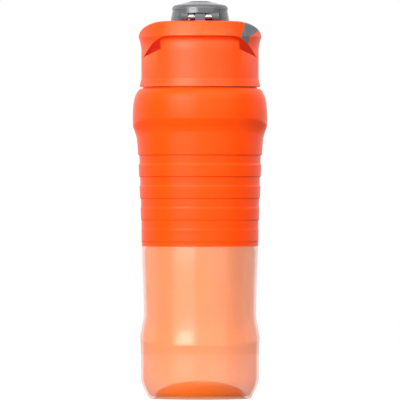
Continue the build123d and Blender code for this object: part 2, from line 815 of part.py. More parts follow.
# What is taken off both sides of the dome for its shallow finger grips
with BuildPart() as side_grips:
    with BuildSketch(Plane.XZ):
        with BuildLine():
            cover_outline(-1)
        make_face()
    revolve(axis=Axis.Z)
    with BuildSketch(Plane.XZ):
        with BuildLine():
            cover_outline(grip_depth)
        make_face()
    revolve(axis=Axis.Z, mode=Mode.SUBTRACT)
    box(both_ways(reach), both_ways(reach), (grip_bottom, grip_top), mode=Mode.INTERSECT)
    box(both_ways(grip_start), both_ways(reach), (grip_bottom, grip_top), mode=Mode.SUBTRACT)

cover_seal_bottom = spout_top + 0.35
with BuildPart() as cover:
    with BuildSketch(Plane.XZ):
        with BuildLine():
            cover_outline(0)
        make_face()
    revolve(axis=Axis.Z)
    add(side_grips.part, mode=Mode.SUBTRACT)
    # Ears that turn on the pin
    with BuildSketch(Plane.YZ.offset(ear_inner)):
        with Locations((hinge_y, hinge_z)):
            Circle(ear_radius)
    extrude(amount=pin_half - ear_inner + 1.2)
    with BuildSketch(Plane.YZ.offset(-ear_inner)):
        with Locations((hinge_y, hinge_z)):
            Circle(ear_radius)
    extrude(amount=-(pin_half - ear_inner + 1.2))
    for side in (-1, 1):
        ear_span = sorted((side * ear_inner, side * (pin_half + 1.2)))
        box(ear_span, (hinge_y, hinge_y + 5), (hinge_z - 1, hinge_z + ear_radius))
    # Inside of the dome, keeping the ears
    with BuildSketch(Plane.XZ):
        with BuildLine():
            cover_outline(cover_wall)
        make_face()
    revolve(axis=Axis.Z, mode=Mode.SUBTRACT)
    for side in (-1, 1):
        ear_span = sorted((side * ear_inner, side * (pin_half + 1.2)))
        box(ear_span, (hinge_y, hinge_y + 3.2), (hinge_z - 1, hinge_z + ear_radius))
        with BuildSketch(Plane.YZ.offset(side * ear_inner)):
            with Locations((hinge_y, hinge_z)):
                Circle(ear_radius)
        extrude(amount=side * (pin_half - ear_inner + 1.2))
    # Window at the back for the post and springs, and the bore for the pin
    box(
        both_ways(ear_inner),
        (-reach, hinge_y + 4),
        (cover_base - 1, hinge_z + coil_radius + coil_wire + 0.5),
        mode=Mode.SUBTRACT,
    )
    with BuildSketch(Plane.YZ):
        with Locations((hinge_y, hinge_z)):
            Circle(pin_radius + pin_clearance)
    extrude(amount=pin_half + 0.2, both=True, mode=Mode.SUBTRACT)
    # Ledge under the latch hook, and the socket of the crown pad
    box(
        both_ways(hook_half),
        (ledge_y, cover_base_radius - cover_wall + 0.4),
        (cover_base + 0.4, cover_base + 0.4 + ledge_height),
    )
    with BuildSketch(Plane.XY.offset(crown_rim - 0.6)):
        Circle(crown_radius)
    extrude(amount=5, mode=Mode.SUBTRACT)
export("cover", cover.part)

pad_floor = crown_rim - 0.6
with BuildPart() as cover_pad:
    with BuildSketch(Plane.XZ):
        with BuildLine():
            Polyline(
                (0, crown_height),
                (crown_radius * 0.6, crown_height - 0.15),
                (crown_radius, crown_rim),
                (crown_radius, pad_floor),
                (0, pad_floor),
                close=True,
            )
        make_face()
    revolve(axis=Axis.Z)
export("cover_pad", cover_pad.part)

with BuildPart() as cover_seal:
    with BuildSketch(Plane.XY.offset(cover_seal_bottom)):
        Circle(spout_tip - 0.2)
    extrude(amount=crown_rim - cover_wall - cover_seal_bottom)
    with BuildSketch(Plane.XY.offset(cover_seal_bottom - 1.4)):
        Circle(ring_bore - 0.9)
        Circle(ring_bore - 2.4, mode=Mode.SUBTRACT)
    extrude(amount=1.4)
export("cover_seal", cover_seal.part)

with BuildPart() as hinge_pin:
    with BuildSketch(Plane.YZ):
        with Locations((hinge_y, hinge_z)):
            Circle(pin_radius)
    extrude(amount=pin_half, both=True)
    chamfer(hinge_pin.edges(), 0.2)
export("hinge_pin", hinge_pin.part)

coil_length = ear_inner - coil_start - 2 * coil_wire - 0.3
with BuildPart() as hinge_spring:
    for side in (-1, 1):
        with BuildLine() as coil:
            Helix(
                coil_length / coil_turns,
                coil_length,
                coil_radius,
                center=(side * (coil_start + coil_wire), hinge_y, hinge_z),
                direction=(side, 0, 0),
            )
        with BuildSketch(Plane(coil.line @ 0, z_dir=coil.line % 0)):
            Circle(coil_wire)
        sweep(path=coil.line, is_frenet=True)
export("hinge_spring", hinge_spring.part)
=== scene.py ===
# %% [markdown]
# # Squeeze bottle with a ribbed grip sleeve and a flip lid
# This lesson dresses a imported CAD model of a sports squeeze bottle. The CAD says where every part
# is and how it moves. Blender adds the shapes that a plain lathe can't give, such as the ribbed
# sleeve with a window under its shoulder, and the finish of every plastic, rubber and metal part.

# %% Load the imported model
import json
import math

import bpy
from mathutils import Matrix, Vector

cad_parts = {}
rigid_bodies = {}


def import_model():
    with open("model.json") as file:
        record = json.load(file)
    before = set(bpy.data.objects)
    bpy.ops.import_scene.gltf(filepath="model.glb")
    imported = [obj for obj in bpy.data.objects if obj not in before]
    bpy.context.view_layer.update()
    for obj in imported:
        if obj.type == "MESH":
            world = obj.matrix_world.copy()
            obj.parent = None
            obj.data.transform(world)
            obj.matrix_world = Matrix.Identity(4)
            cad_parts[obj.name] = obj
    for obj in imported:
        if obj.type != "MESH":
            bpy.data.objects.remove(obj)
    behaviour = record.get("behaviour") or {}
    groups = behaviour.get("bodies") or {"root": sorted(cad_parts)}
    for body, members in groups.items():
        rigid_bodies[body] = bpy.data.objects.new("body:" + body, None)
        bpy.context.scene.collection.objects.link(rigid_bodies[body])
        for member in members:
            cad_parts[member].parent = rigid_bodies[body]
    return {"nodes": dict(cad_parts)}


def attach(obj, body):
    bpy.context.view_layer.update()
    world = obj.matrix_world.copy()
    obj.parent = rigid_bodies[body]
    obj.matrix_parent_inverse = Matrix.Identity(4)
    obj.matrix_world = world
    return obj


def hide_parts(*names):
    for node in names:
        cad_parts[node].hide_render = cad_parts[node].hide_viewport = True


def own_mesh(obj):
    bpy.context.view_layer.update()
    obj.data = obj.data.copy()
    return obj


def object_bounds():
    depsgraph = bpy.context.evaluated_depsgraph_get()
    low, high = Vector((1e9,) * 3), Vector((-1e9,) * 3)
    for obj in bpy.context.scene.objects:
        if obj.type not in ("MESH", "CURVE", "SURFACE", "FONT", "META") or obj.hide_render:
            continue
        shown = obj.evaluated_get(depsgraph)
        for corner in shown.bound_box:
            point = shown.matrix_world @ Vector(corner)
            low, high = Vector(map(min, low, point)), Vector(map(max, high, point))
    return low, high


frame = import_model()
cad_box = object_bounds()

scene = bpy.context.scene
nodes = frame["nodes"]
MM = 0.001
print("CAD box", [[round(v, 4) for v in corner] for corner in cad_box])

# %% [markdown]
# ## Camera
# The bottle is seen from the side of its carry loop, straight on and from far away, so that the
# rings of the sleeve look almost flat. A very long lens does that. The width of the view at the
# bottle's axis is a little more than the bottle's height.

# %% The camera
VIEW_WIDTH = 253.6 * MM
VIEW_CENTRE = Vector((0.0, 0.0, 125.85 * MM))
LENS, SENSOR = 600.0, 36.0

camera_data = bpy.data.cameras.new("studio_camera")
camera_data.lens = LENS
camera_data.sensor_width = SENSOR
camera = bpy.data.objects.new("studio_camera", camera_data)
scene.collection.objects.link(camera)
camera.location = VIEW_CENTRE - Vector((0.0, VIEW_WIDTH * LENS / SENSOR, 0.0))
camera.rotation_euler = (math.pi / 2, 0.0, 0.0)
camera_data.clip_end = 50.0
scene.camera = camera
print("camera is", round(-camera.location.y, 2), "m away")

# %% [markdown]
# ## Studio
# A white cyclorama stands behind the bottle: it is the bright rim on both edges of the plastic.
# The rest of the room is dim, so the colour stays deep. The world shader makes the room from the
# direction of each ray. Four softboxes do the rest: a wide weak one fills the front, a tall one to
# the left of the camera draws the long highlight, a small one above it brightens the shoulder, and
# a wide one overhead lights every face that tilts up.


# %% A helper for node trees
def place(tree, kind, inputs=None, **attributes):
    """Adds a node to a tree. An input is a value, or the output socket that feeds it."""
    node = tree.nodes.new(kind)
    for name, value in attributes.items():
        setattr(node, name, value)
    for key, value in (inputs or {}).items():
        socket = node.inputs[key]
        if isinstance(value, bpy.types.NodeSocket):
            tree.links.new(value, socket)
        else:
            socket.default_value = value
    return node


print("node helper ready")

# %% The room
ROOM_DIM, ROOM_BRIGHT = 0.22, 1.12
CYCLORAMA_EDGE = (-0.02, 0.32)  # the backward part of a direction, from dim room to white wall
WHITE = (1.0, 1.0, 1.0, 1.0)

world = bpy.data.worlds.new("studio_room")
world.use_nodes = True
scene.world = world
room = world.node_tree
room.nodes.clear()

direction = place(room, "ShaderNodeTexCoord")
split = place(room, "ShaderNodeSeparateXYZ", {0: direction.outputs["Generated"]})
depth = place(
    room,
    "ShaderNodeMapRange",
    {
        "Value": split.outputs["Y"],
        "From Min": CYCLORAMA_EDGE[0],
        "From Max": CYCLORAMA_EDGE[1],
        "To Min": ROOM_DIM,
        "To Max": ROOM_BRIGHT,
    },
    interpolation_type="SMOOTHSTEP",
)
# The camera itself sees the room plain white.
rays = place(room, "ShaderNodeLightPath")
seen = place(
    room,
    "ShaderNodeMix",
    {"Factor": rays.outputs["Is Camera Ray"], "A": depth.outputs["Result"], "B": 1.0},
    data_type="FLOAT",
)
glow = place(room, "ShaderNodeBackground", {"Color": WHITE, "Strength": seen.outputs["Result"]})
place(room, "ShaderNodeOutputWorld", {"Surface": glow.outputs[0]})
print("room is", ROOM_DIM, "in front and", ROOM_BRIGHT, "behind")


# %% The softboxes
def softbox(name, azimuth, elevation, distance, size, glow):
    """A rectangular lamp of an even glow that faces the bottle.

    Azimuth 0 is at the camera and grows to its right. The power follows from the glow and the
    area, so a larger box lights more but isn't brighter where the plastic mirrors it.
    """
    data = bpy.data.lights.new(name, "AREA")
    data.shape = "RECTANGLE"
    data.size, data.size_y = size
    data.energy = glow * math.pi * data.size * data.size_y
    lamp = bpy.data.objects.new(name, data)
    scene.collection.objects.link(lamp)
    a, e = math.radians(azimuth), math.radians(elevation)
    away = Vector((math.sin(a) * math.cos(e), -math.cos(a) * math.cos(e), math.sin(e)))
    lamp.location = VIEW_CENTRE + away * distance
    lamp.rotation_euler = (-away).to_track_quat("-Z", "Y").to_euler()
    lamp.visible_camera = False
    return lamp


softbox("front_wall", azimuth=8, elevation=8, distance=2.0, size=(4.4, 2.0), glow=1.15)
softbox("key_left", azimuth=-33, elevation=10, distance=2.0, size=(1.7, 2.4), glow=3.3)
softbox("key_top", azimuth=-32, elevation=27, distance=1.9, size=(1.0, 0.7), glow=5.5)
softbox("overhead_front", azimuth=3, elevation=56, distance=1.9, size=(4.2, 1.3), glow=2.5)

# %% [markdown]
# The floor is a white disc. The camera sees it paler than the bottle does, so that it doesn't
# throw a strong light up into the translucent foot.

# %% The floor
FLOOR_RADIUS, FLOOR_SEGMENTS = 1.2, 96
FLOOR_GLOW, FLOOR_PALE, FLOOR_BOUNCE = 0.62, 0.62, 0.22
FLOOR_ROUGHNESS, FLOOR_SHINE = 0.9, 0.1

floor_mesh = bpy.data.meshes.new("studio_floor")
floor_mesh.from_pydata(
    [
        (
            FLOOR_RADIUS * math.cos(2 * math.pi * k / FLOOR_SEGMENTS),
            FLOOR_RADIUS * math.sin(2 * math.pi * k / FLOOR_SEGMENTS),
            cad_box[0].z,
        )
        for k in range(FLOOR_SEGMENTS)
    ],
    [],
    [tuple(range(FLOOR_SEGMENTS))],
)
floor = bpy.data.objects.new("studio_floor", floor_mesh)
scene.collection.objects.link(floor)
print("floor at z =", round(cad_box[0].z, 4))

# %% The floor's paint, and plain colours with no film look
floor_paint = bpy.data.materials.new("floor_paint")
floor_paint.use_nodes = True
floor_tree = floor_paint.node_tree
paint = floor_tree.nodes["Principled BSDF"]
paint.inputs["Roughness"].default_value = FLOOR_ROUGHNESS
paint.inputs["Specular IOR Level"].default_value = FLOOR_SHINE
paint.inputs["Emission Color"].default_value = WHITE
floor_rays = place(floor_tree, "ShaderNodeLightPath")
for socket, (bounced, direct) in {
    "Base Color": (FLOOR_BOUNCE, FLOOR_PALE),
    "Emission Strength": (0.0, FLOOR_GLOW),
}.items():
    level = place(
        floor_tree,
        "ShaderNodeMix",
        {"Factor": floor_rays.outputs["Is Camera Ray"], "A": bounced, "B": direct},
    )
    floor_tree.links.new(level.outputs["Result"], paint.inputs[socket])
floor_mesh.materials.append(floor_paint)
scene.view_settings.view_transform = "Standard"
scene.view_settings.look = "None"
print("floor paint:", floor_paint.name)

# %% [markdown]
# ## Finishes
# Everything here is moulded, so every surface has some grain: the fine spark-eroded texture of
# the lid, the velvety speckle of the soft-touch sleeve, the cloudy frosting of the squeezable
# body. One node group makes that grain from a fine and a cloudy noise on Object coordinates. It
# gives a height for the bump, a change of roughness and a tint, and each material sets its sizes.


# %% Helpers for shader trees
def math_node(tree, operation, first, second=0.0, clamp=False):
    """The output of a Math node."""
    node = place(tree, "ShaderNodeMath", {0: first, 1: second}, operation=operation)
    node.use_clamp = clamp
    return node.outputs[0]


def new_group(name, inputs, outputs):
    """A shader node group with named float or colour sockets, and its two end nodes."""
    group = bpy.data.node_groups.new(name, "ShaderNodeTree")
    for label, kind, value in inputs:
        made = group.interface.new_socket(name=label, in_out="INPUT", socket_type=kind)
        made.default_value = value
    for label, kind in outputs:
        group.interface.new_socket(name=label, in_out="OUTPUT", socket_type=kind)
    return group, place(group, "NodeGroupInput"), place(group, "NodeGroupOutput")


FLOAT, COLOUR = "NodeSocketFloat", "NodeSocketColor"
print("shader helpers ready")

# %% The moulded grain group
MM_PER_M = 1000.0
FINE_SHARE, CLOUD_SHARE = 0.55, 0.45
CONTRAST = 4.0  # noise stays near its middle value, so its swing is widened
SHADE_AT_MIDDLE = 0.25  # how much of the shade colour shows at the noise's middle value

grain, g_in, g_out = new_group(
    "moulded_grain",
    [
        ("Base Color", COLOUR, (0.8, 0.8, 0.8, 1.0)),
        ("Shade Color", COLOUR, (0.6, 0.6, 0.6, 1.0)),
        ("Grain Size mm", FLOAT, 0.3),
        ("Cloud Size mm", FLOAT, 9.0),
        ("Tint", FLOAT, 0.15),
        ("Roughness", FLOAT, 0.4),
        ("Roughness Change", FLOAT, 0.05),
    ],
    [("Color", COLOUR), ("Roughness", FLOAT), ("Height", FLOAT)],
)
coords = place(grain, "ShaderNodeTexCoord").outputs["Object"]
fine_scale = math_node(grain, "DIVIDE", MM_PER_M, g_in.outputs["Grain Size mm"])
cloud_scale = math_node(grain, "DIVIDE", MM_PER_M, g_in.outputs["Cloud Size mm"])
fine = place(
    grain,
    "ShaderNodeTexNoise",
    {"Vector": coords, "Scale": fine_scale, "Detail": 1.0, "Roughness": 0.6},
)
cloud = place(
    grain,
    "ShaderNodeTexNoise",
    {"Vector": coords, "Scale": cloud_scale, "Detail": 3.0, "Roughness": 0.55},
)
both = math_node(
    grain,
    "ADD",
    math_node(grain, "MULTIPLY", fine.outputs["Fac"], FINE_SHARE),
    math_node(grain, "MULTIPLY", cloud.outputs["Fac"], CLOUD_SHARE),
)
centred = math_node(grain, "SUBTRACT", both, 0.5)
tinted = math_node(grain, "MULTIPLY", centred, g_in.outputs["Tint"])
widened = math_node(grain, "MULTIPLY", tinted, CONTRAST)
shade_share = math_node(grain, "ADD", widened, SHADE_AT_MIDDLE, clamp=True)
mixed = place(grain, "ShaderNodeMix", {"Factor": shade_share}, data_type="RGBA")
grain.links.new(g_in.outputs["Base Color"], mixed.inputs["A"])
grain.links.new(g_in.outputs["Shade Color"], mixed.inputs["B"])
swing = math_node(grain, "MULTIPLY", centred, CONTRAST)
change = math_node(grain, "MULTIPLY", swing, g_in.outputs["Roughness Change"])
rough = math_node(grain, "ADD", g_in.outputs["Roughness"], change, clamp=True)
grain.links.new(mixed.outputs["Result"], g_out.inputs["Color"])
grain.links.new(rough, g_out.inputs["Roughness"])
grain.links.new(fine.outputs["Fac"], g_out.inputs["Height"])
print("grain group has", len(grain.nodes), "nodes")

# %% [markdown]
# A handled plastic edge goes pale with wear, in small broken patches, and a rounded edge also
# catches the light. This group paints both, the wear and a painted edge highlight. It gives a mask
# from how sharply the surface turns, broken up with noise, and a colour that mixes the clean
# plastic with the paler one. This bottle is nearly new, so the pale edges are mostly the painted
# highlight.

# %% The edge rub group
# The pale edges, a little wear and a painted highlight, start and are full at these two values of
# pointiness.
FLAT_ENOUGH, SHARP_ENOUGH = 0.52, 0.60  # pointiness where the rub starts and where it is full

rub_and_highlight, r_in, r_out = new_group(
    "edge_wear_and_highlight",
    [
        ("Color", COLOUR, (0.8, 0.8, 0.8, 1.0)),
        ("Wear And Highlight Color", COLOUR, (0.9, 0.9, 0.9, 1.0)),
        ("Amount", FLOAT, 0.3),
        ("Patch Size mm", FLOAT, 2.0),
    ],
    [("Color", COLOUR), ("Mask", FLOAT)],
)
r_coords = place(rub_and_highlight, "ShaderNodeTexCoord").outputs["Object"]
pointy = place(rub_and_highlight, "ShaderNodeNewGeometry").outputs["Pointiness"]
sharpness = place(
    rub_and_highlight,
    "ShaderNodeMapRange",
    {"Value": pointy, "From Min": FLAT_ENOUGH, "From Max": SHARP_ENOUGH},
    clamp=True,
).outputs["Result"]
patches = place(
    rub_and_highlight,
    "ShaderNodeTexNoise",
    {
        "Vector": r_coords,
        "Scale": math_node(rub_and_highlight, "DIVIDE", MM_PER_M, r_in.outputs["Patch Size mm"]),
        "Detail": 2.0,
    },
).outputs["Fac"]
broken = math_node(rub_and_highlight, "MULTIPLY", sharpness, patches)
mask = math_node(rub_and_highlight, "MULTIPLY", broken, r_in.outputs["Amount"], clamp=True)
blend = place(rub_and_highlight, "ShaderNodeMix", {"Factor": mask}, data_type="RGBA")
rub_and_highlight.links.new(r_in.outputs["Color"], blend.inputs["A"])
rub_and_highlight.links.new(r_in.outputs["Wear And Highlight Color"], blend.inputs["B"])
rub_and_highlight.links.new(blend.outputs["Result"], r_out.inputs["Color"])
rub_and_highlight.links.new(mask, r_out.inputs["Mask"])
print("rub group has", len(rub_and_highlight.nodes), "nodes")


# %% A maker for moulded materials
def moulded(
    name,
    base,
    shade,
    roughness=0.4,
    change=0.05,
    grain_size=0.3,
    cloud_size=9.0,
    tint=0.15,
    bump=0.1,
    bump_depth=0.05,
    wear_and_highlight_colour=None,
    wear_and_highlight_amount=0.25,
    **shader,
):
    """A Principled material whose colour, roughness and bump come from the grain group."""
    material = bpy.data.materials.new(name)
    material.use_nodes = True
    tree = material.node_tree
    principled = tree.nodes["Principled BSDF"]
    texture = place(tree, "ShaderNodeGroup", node_tree=grain)
    for label, value in (
        ("Base Color", (*base, 1.0)),
        ("Shade Color", (*shade, 1.0)),
        ("Grain Size mm", grain_size),
        ("Cloud Size mm", cloud_size),
        ("Tint", tint),
        ("Roughness", roughness),
        ("Roughness Change", change),
    ):
        texture.inputs[label].default_value = value
    colour = texture.outputs["Color"]
    if wear_and_highlight_colour:
        wear_and_highlight_node = place(tree, "ShaderNodeGroup", node_tree=rub_and_highlight)
        wear_and_highlight_node.inputs["Wear And Highlight Color"].default_value = (*wear_and_highlight_colour, 1.0)
        wear_and_highlight_node.inputs["Amount"].default_value = wear_and_highlight_amount
        tree.links.new(colour, wear_and_highlight_node.inputs["Color"])
        colour = wear_and_highlight_node.outputs["Color"]
    tree.links.new(colour, principled.inputs["Base Color"])
    tree.links.new(texture.outputs["Roughness"], principled.inputs["Roughness"])
    relief = place(
        tree,
        "ShaderNodeBump",
        {"Strength": bump, "Distance": bump_depth * MM, "Height": texture.outputs["Height"]},
    )
    tree.links.new(relief.outputs["Normal"], principled.inputs["Normal"])
    for label, value in shader.items():
        principled.inputs[label.replace("_", " ")].default_value = value
    return material


def dress(material, *names):
    """Gives CAD nodes a material, in place of the plain one that they came with."""
    for name in names:
        slots = nodes[name].data.materials
        slots.clear()
        slots.append(material)


print("material maker ready")

# %% [markdown]
# ### Orange plastics
# The lid is hard polypropylene with a fine satin texture. The sleeve is a soft-touch elastomer in
# the same orange, duller and velvety, so it has a little sheen at grazing angles. Both are very
# saturated: light that bounces between two orange faces turns almost red, which gives the gap
# under the collar and the scoops beside the loop their depth.

# %% Lid and sleeve
ORANGE, ORANGE_SHADE = (0.98, 0.066, 0.0006), (0.93, 0.058, 0.0004)
# The pale orange on the lid's edges is a little wear and a painted highlight along the bevels.
ORANGE_WEAR_AND_HIGHLIGHT = (1.0, 0.22, 0.06)

lid_satin = moulded(
    "lid_satin",
    ORANGE,
    ORANGE_SHADE,
    roughness=0.40,
    change=0.05,
    grain_size=0.35,
    bump=0.25,
    bump_depth=0.02,
    wear_and_highlight_colour=ORANGE_WEAR_AND_HIGHLIGHT,
    wear_and_highlight_amount=0.45,
    Specular_IOR_Level=0.32,
)
sleeve_soft_touch = moulded(
    "sleeve_soft_touch",
    ORANGE,
    ORANGE_SHADE,
    roughness=0.33,
    change=0.05,
    grain_size=0.5,
    bump=0.3,
    bump_depth=0.03,
    Specular_IOR_Level=0.14,
)
dress(lid_satin, "lid_shell")
print("orange finishes:", lid_satin.name, sleeve_soft_touch.name)

# %% [markdown]
# ### Frosted body
# The squeeze body is thin natural polyethylene with a little orange in it. It lets light through
# but scatters it, so the far wall is only a haze, and where walls overlap, as at the domed base,
# the orange gets deeper. Partly transparent skin on a real wall thickness does exactly that: each
# surface adds its own veil of colour.

# %% Body material
SKIN_VEIL, BASE_VEIL = 0.40, 0.95  # how opaque the skin is on the wall and on the domed base
DOME_RADII = (28.8, 27.4)  # mm, from none of the base's veil to all of it
DOME_HEIGHTS = (13.6, 12.9)

body_frosted = moulded(
    "body_frosted",
    (0.98, 0.245, 0.012),
    (0.95, 0.215, 0.007),
    roughness=0.20,
    change=0.06,
    grain_size=0.9,
    cloud_size=14.0,
    tint=0.4,
    bump=0.25,
    bump_depth=0.04,
    Specular_IOR_Level=0.85,
)
body_frosted.surface_render_method = "BLENDED"

# The domed base is moulded thicker than the wall, so it is nearly opaque there.
body_tree = body_frosted.node_tree
body_shader = body_tree.nodes["Principled BSDF"]
spot = place(
    body_tree,
    "ShaderNodeSeparateXYZ",
    {0: place(body_tree, "ShaderNodeTexCoord").outputs["Object"]},
)
from_axis = math_node(
    body_tree,
    "SQRT",
    math_node(
        body_tree,
        "ADD",
        math_node(body_tree, "MULTIPLY", spot.outputs["X"], spot.outputs["X"]),
        math_node(body_tree, "MULTIPLY", spot.outputs["Y"], spot.outputs["Y"]),
    ),
)


def body_mask(value, nothing_at, all_at):
    """0 at one value in mm and 1 at the other, clamped."""
    return place(
        body_tree,
        "ShaderNodeMapRange",
        {"Value": value, "From Min": nothing_at * MM, "From Max": all_at * MM},
        clamp=True,
    ).outputs["Result"]


thick = math_node(
    body_tree,
    "MULTIPLY",
    body_mask(from_axis, *DOME_RADII),
    body_mask(spot.outputs["Z"], *DOME_HEIGHTS),
)
skin_colour = body_shader.inputs["Base Color"].links[0].from_socket
base_colour = place(body_tree, "ShaderNodeMix", {"Factor": thick}, data_type="RGBA")
base_colour.inputs["B"].default_value = (*ORANGE, 1.0)
body_tree.links.new(skin_colour, base_colour.inputs["A"])
body_tree.links.new(base_colour.outputs["Result"], body_shader.inputs["Base Color"])
veil = place(
    body_tree,
    "ShaderNodeMapRange",
    {"Value": thick, "To Min": SKIN_VEIL, "To Max": BASE_VEIL},
)
body_tree.links.new(veil.outputs["Result"], body_shader.inputs["Alpha"])
print("body finish:", body_frosted.name)

# %% [markdown]
# ### Greys, silicone and steel
# The accent pad, spout and button are dark grey plastics and rubbers. The cover is smoke-grey
# polycarbonate, clear enough to show the spout and the hinge inside. The seals are pale silicone,
# and the pin and springs are bright steel wire with a fine grain.

# %% Small finishes
# The accent's pale edges are a painted highlight along its bevel, with a little wear.
accent_grey = moulded(
    "accent_grey",
    (0.135, 0.15, 0.16),
    (0.09, 0.105, 0.115),
    roughness=0.5,
    grain_size=0.4,
    bump=0.3,
    bump_depth=0.03,
    wear_and_highlight_colour=(0.42, 0.44, 0.45),
    wear_and_highlight_amount=0.2,
)
spout_grey = moulded("spout_grey", (0.085, 0.09, 0.095), (0.06, 0.064, 0.068), roughness=0.35)
# The button's pale edges are also a painted highlight, with a little wear.
button_grey = moulded(
    "button_grey",
    (0.12, 0.13, 0.14),
    (0.085, 0.09, 0.1),
    roughness=0.42,
    wear_and_highlight_colour=(0.4, 0.41, 0.42),
)
inner_white = moulded("inner_white", (0.74, 0.74, 0.72), (0.66, 0.66, 0.64), roughness=0.38)
seal_silicone = moulded(
    "seal_silicone", (0.55, 0.56, 0.57), (0.47, 0.48, 0.49), roughness=0.55, grain_size=0.6
)
valve_silicone = moulded(
    "valve_silicone",
    (0.80, 0.80, 0.78),
    (0.70, 0.70, 0.68),
    roughness=0.30,
    grain_size=0.6,
    Transmission_Weight=0.35,
)
# The pad on the cover's crown is near-black, and it gives the dark ellipse on top of the cover.
crown_near_black = moulded(
    "crown_near_black",
    (0.045, 0.048, 0.052),
    (0.03, 0.032, 0.035),
    roughness=0.75,
    grain_size=0.45,
    Specular_IOR_Level=0.12,
)
smoke_clear = moulded(
    "smoke_clear",
    (0.205, 0.212, 0.225),
    (0.17, 0.178, 0.19),
    roughness=0.14,
    change=0.03,
    cloud_size=20.0,
    tint=0.2,
    bump=0.05,
    Transmission_Weight=0.62,
    IOR=1.5,
)
drawn_steel = moulded(
    "drawn_steel",
    (0.62, 0.62, 0.64),
    (0.5, 0.5, 0.52),
    roughness=0.26,
    change=0.08,
    grain_size=0.12,
    Metallic=1.0,
)
dress(accent_grey, "loop_accent", "button_bezel")
dress(spout_grey, "spout", "valve_ring", "spout_deck")
dress(button_grey, "latch_slide", "button_cap", "lock_slide")
dress(inner_white, "lid_base")
dress(seal_silicone, "lid_gasket", "spout_oring", "spout_grommet", "cover_seal")
dress(valve_silicone, "spout_valve", "vent_valve")
dress(crown_near_black, "cover_pad")
dress(smoke_clear, "cover")
dress(drawn_steel, "hinge_pin", "hinge_spring", "button_spring")
print("dressed", len(nodes), "CAD nodes")

# %% [markdown]
# ## The squeeze body
# A blown bottle is nearly a lathed shape: a domed base, a wide foot, a ridge, a flare up to the
# waist and a straight wall under the sleeve. But the ridge and the flare aren't level. On the
# front and the back they dip, as if a flat had been pressed into the foot, and they climb again
# round the sides. So the section is turned in code, and the height of each ring changes with the
# angle. The wall has a real thickness, because light has to cross it.

# %% How deep the front and back dip
def dip(angle, start):
    """1 across the front and back, easing to 0 at the sides.

    The easing starts at a share of the radius away from the middle.
    """
    across = abs(math.cos(angle))
    if across <= start:
        return 1.0
    part = (across - start) / (1.0 - start)
    return math.sqrt(max(0.0, 1.0 - part * part))


def stretch(value, from_heights, to_heights):
    """Piecewise straight mapping of a height."""
    for k in range(len(from_heights) - 1):
        if value <= from_heights[k + 1]:
            share = (value - from_heights[k]) / (from_heights[k + 1] - from_heights[k])
            return to_heights[k] + share * (to_heights[k + 1] - to_heights[k])
    return value + to_heights[-1] - from_heights[-1]


print("dip at the front", dip(math.pi / 2, 0.55), "and at the side", dip(0.0, 0.55))

# %% The body's section: radius and height in mm, up the outside and down the inside
BODY_SECTION = [
    (0.0, 9.6), (5.0, 9.45), (9.5, 9.05), (14.3, 8.2), (18.0, 7.1), (21.5, 5.7), (24.6, 4.0),
    (26.6, 2.7), (27.5, 2.0), (28.2, 1.3), (28.9, 0.45), (29.5, 0.05), (30.2, 0.0), (31.3, 0.0),
    (32.0, 0.25), (32.7, 0.85), (33.4, 1.7), (34.65, 4.1), (35.98, 6.66), (36.93, 9.2),
    (37.37, 10.5), (37.47, 11.6), (37.47, 16.0), (37.47, 24.4), (37.52, 29.0), (37.62, 33.2),
    (37.70, 35.9), (37.78, 37.1), (37.90, 38.2), (37.94, 38.9), (37.86, 39.5), (37.62, 40.7),
    (37.09, 43.4), (36.53, 46.6), (36.03, 49.5), (35.80, 51.0), (35.68, 52.6), (35.62, 54.6),
    (35.64, 58.0), (35.73, 62.4), (36.11, 75.1), (36.60, 87.0), (36.80, 97.2), (36.76, 97.75),
    (36.5, 97.85), (35.35, 97.9), (35.35, 99.5), (35.5, 119.8), (37.2, 161.0), (38.4, 165.0),
    (40.05, 170.2), (41.0, 176.0), (40.9, 182.0), (39.9, 187.5), (38.2, 191.4), (36.2, 193.7),
    (34.0, 194.4), (31.4, 194.6), (30.35, 194.75), (30.2, 195.3), (30.2, 200.0), (30.2, 208.9),
    (30.05, 209.5), (29.6, 209.7), (28.9, 209.7), (28.5, 209.55), (28.4, 209.0), (28.4, 200.0),
    (28.4, 194.4), (28.5, 193.6), (29.2, 193.1), (31.8, 193.0), (34.0, 192.7), (35.7, 192.0),
    (37.2, 190.2), (38.6, 186.9), (39.4, 181.6), (39.5, 176.2), (39.0, 171.0), (37.4, 166.6),
    (36.0, 163.0), (34.0, 120.0), (33.85, 99.0), (33.9, 97.0), (35.1, 93.5), (35.0, 87.0),
    (34.5, 75.1), (34.12, 62.4), (34.0, 55.0), (34.2, 52.0), (34.9, 46.6), (35.5, 43.4),
    (36.2, 39.2), (36.05, 36.0), (35.9, 29.0), (35.87, 12.0), (35.3, 9.6), (34.4, 7.0),
    (33.1, 4.5), (31.9, 2.4), (31.0, 1.75), (29.9, 1.7), (29.2, 2.4), (27.8, 4.0), (25.6, 5.7),
    (22.3, 7.4), (18.6, 8.8), (14.6, 9.9), (9.7, 10.7), (5.1, 11.1), (0.0, 11.2),
]
FOOT_START = 0.50
BODY_SEGMENTS = 224
# Where a ring is on the sides, and where the same ring is on the front, in mm.
SIDE_HEIGHTS = [0.0, 24.0, 36.1, 39.0, 52.9, 97.0]
FRONT_HEIGHTS = [0.0, 24.0, 33.0, 34.6, 45.0, 97.0]
print("body section has", len(BODY_SECTION), "points")


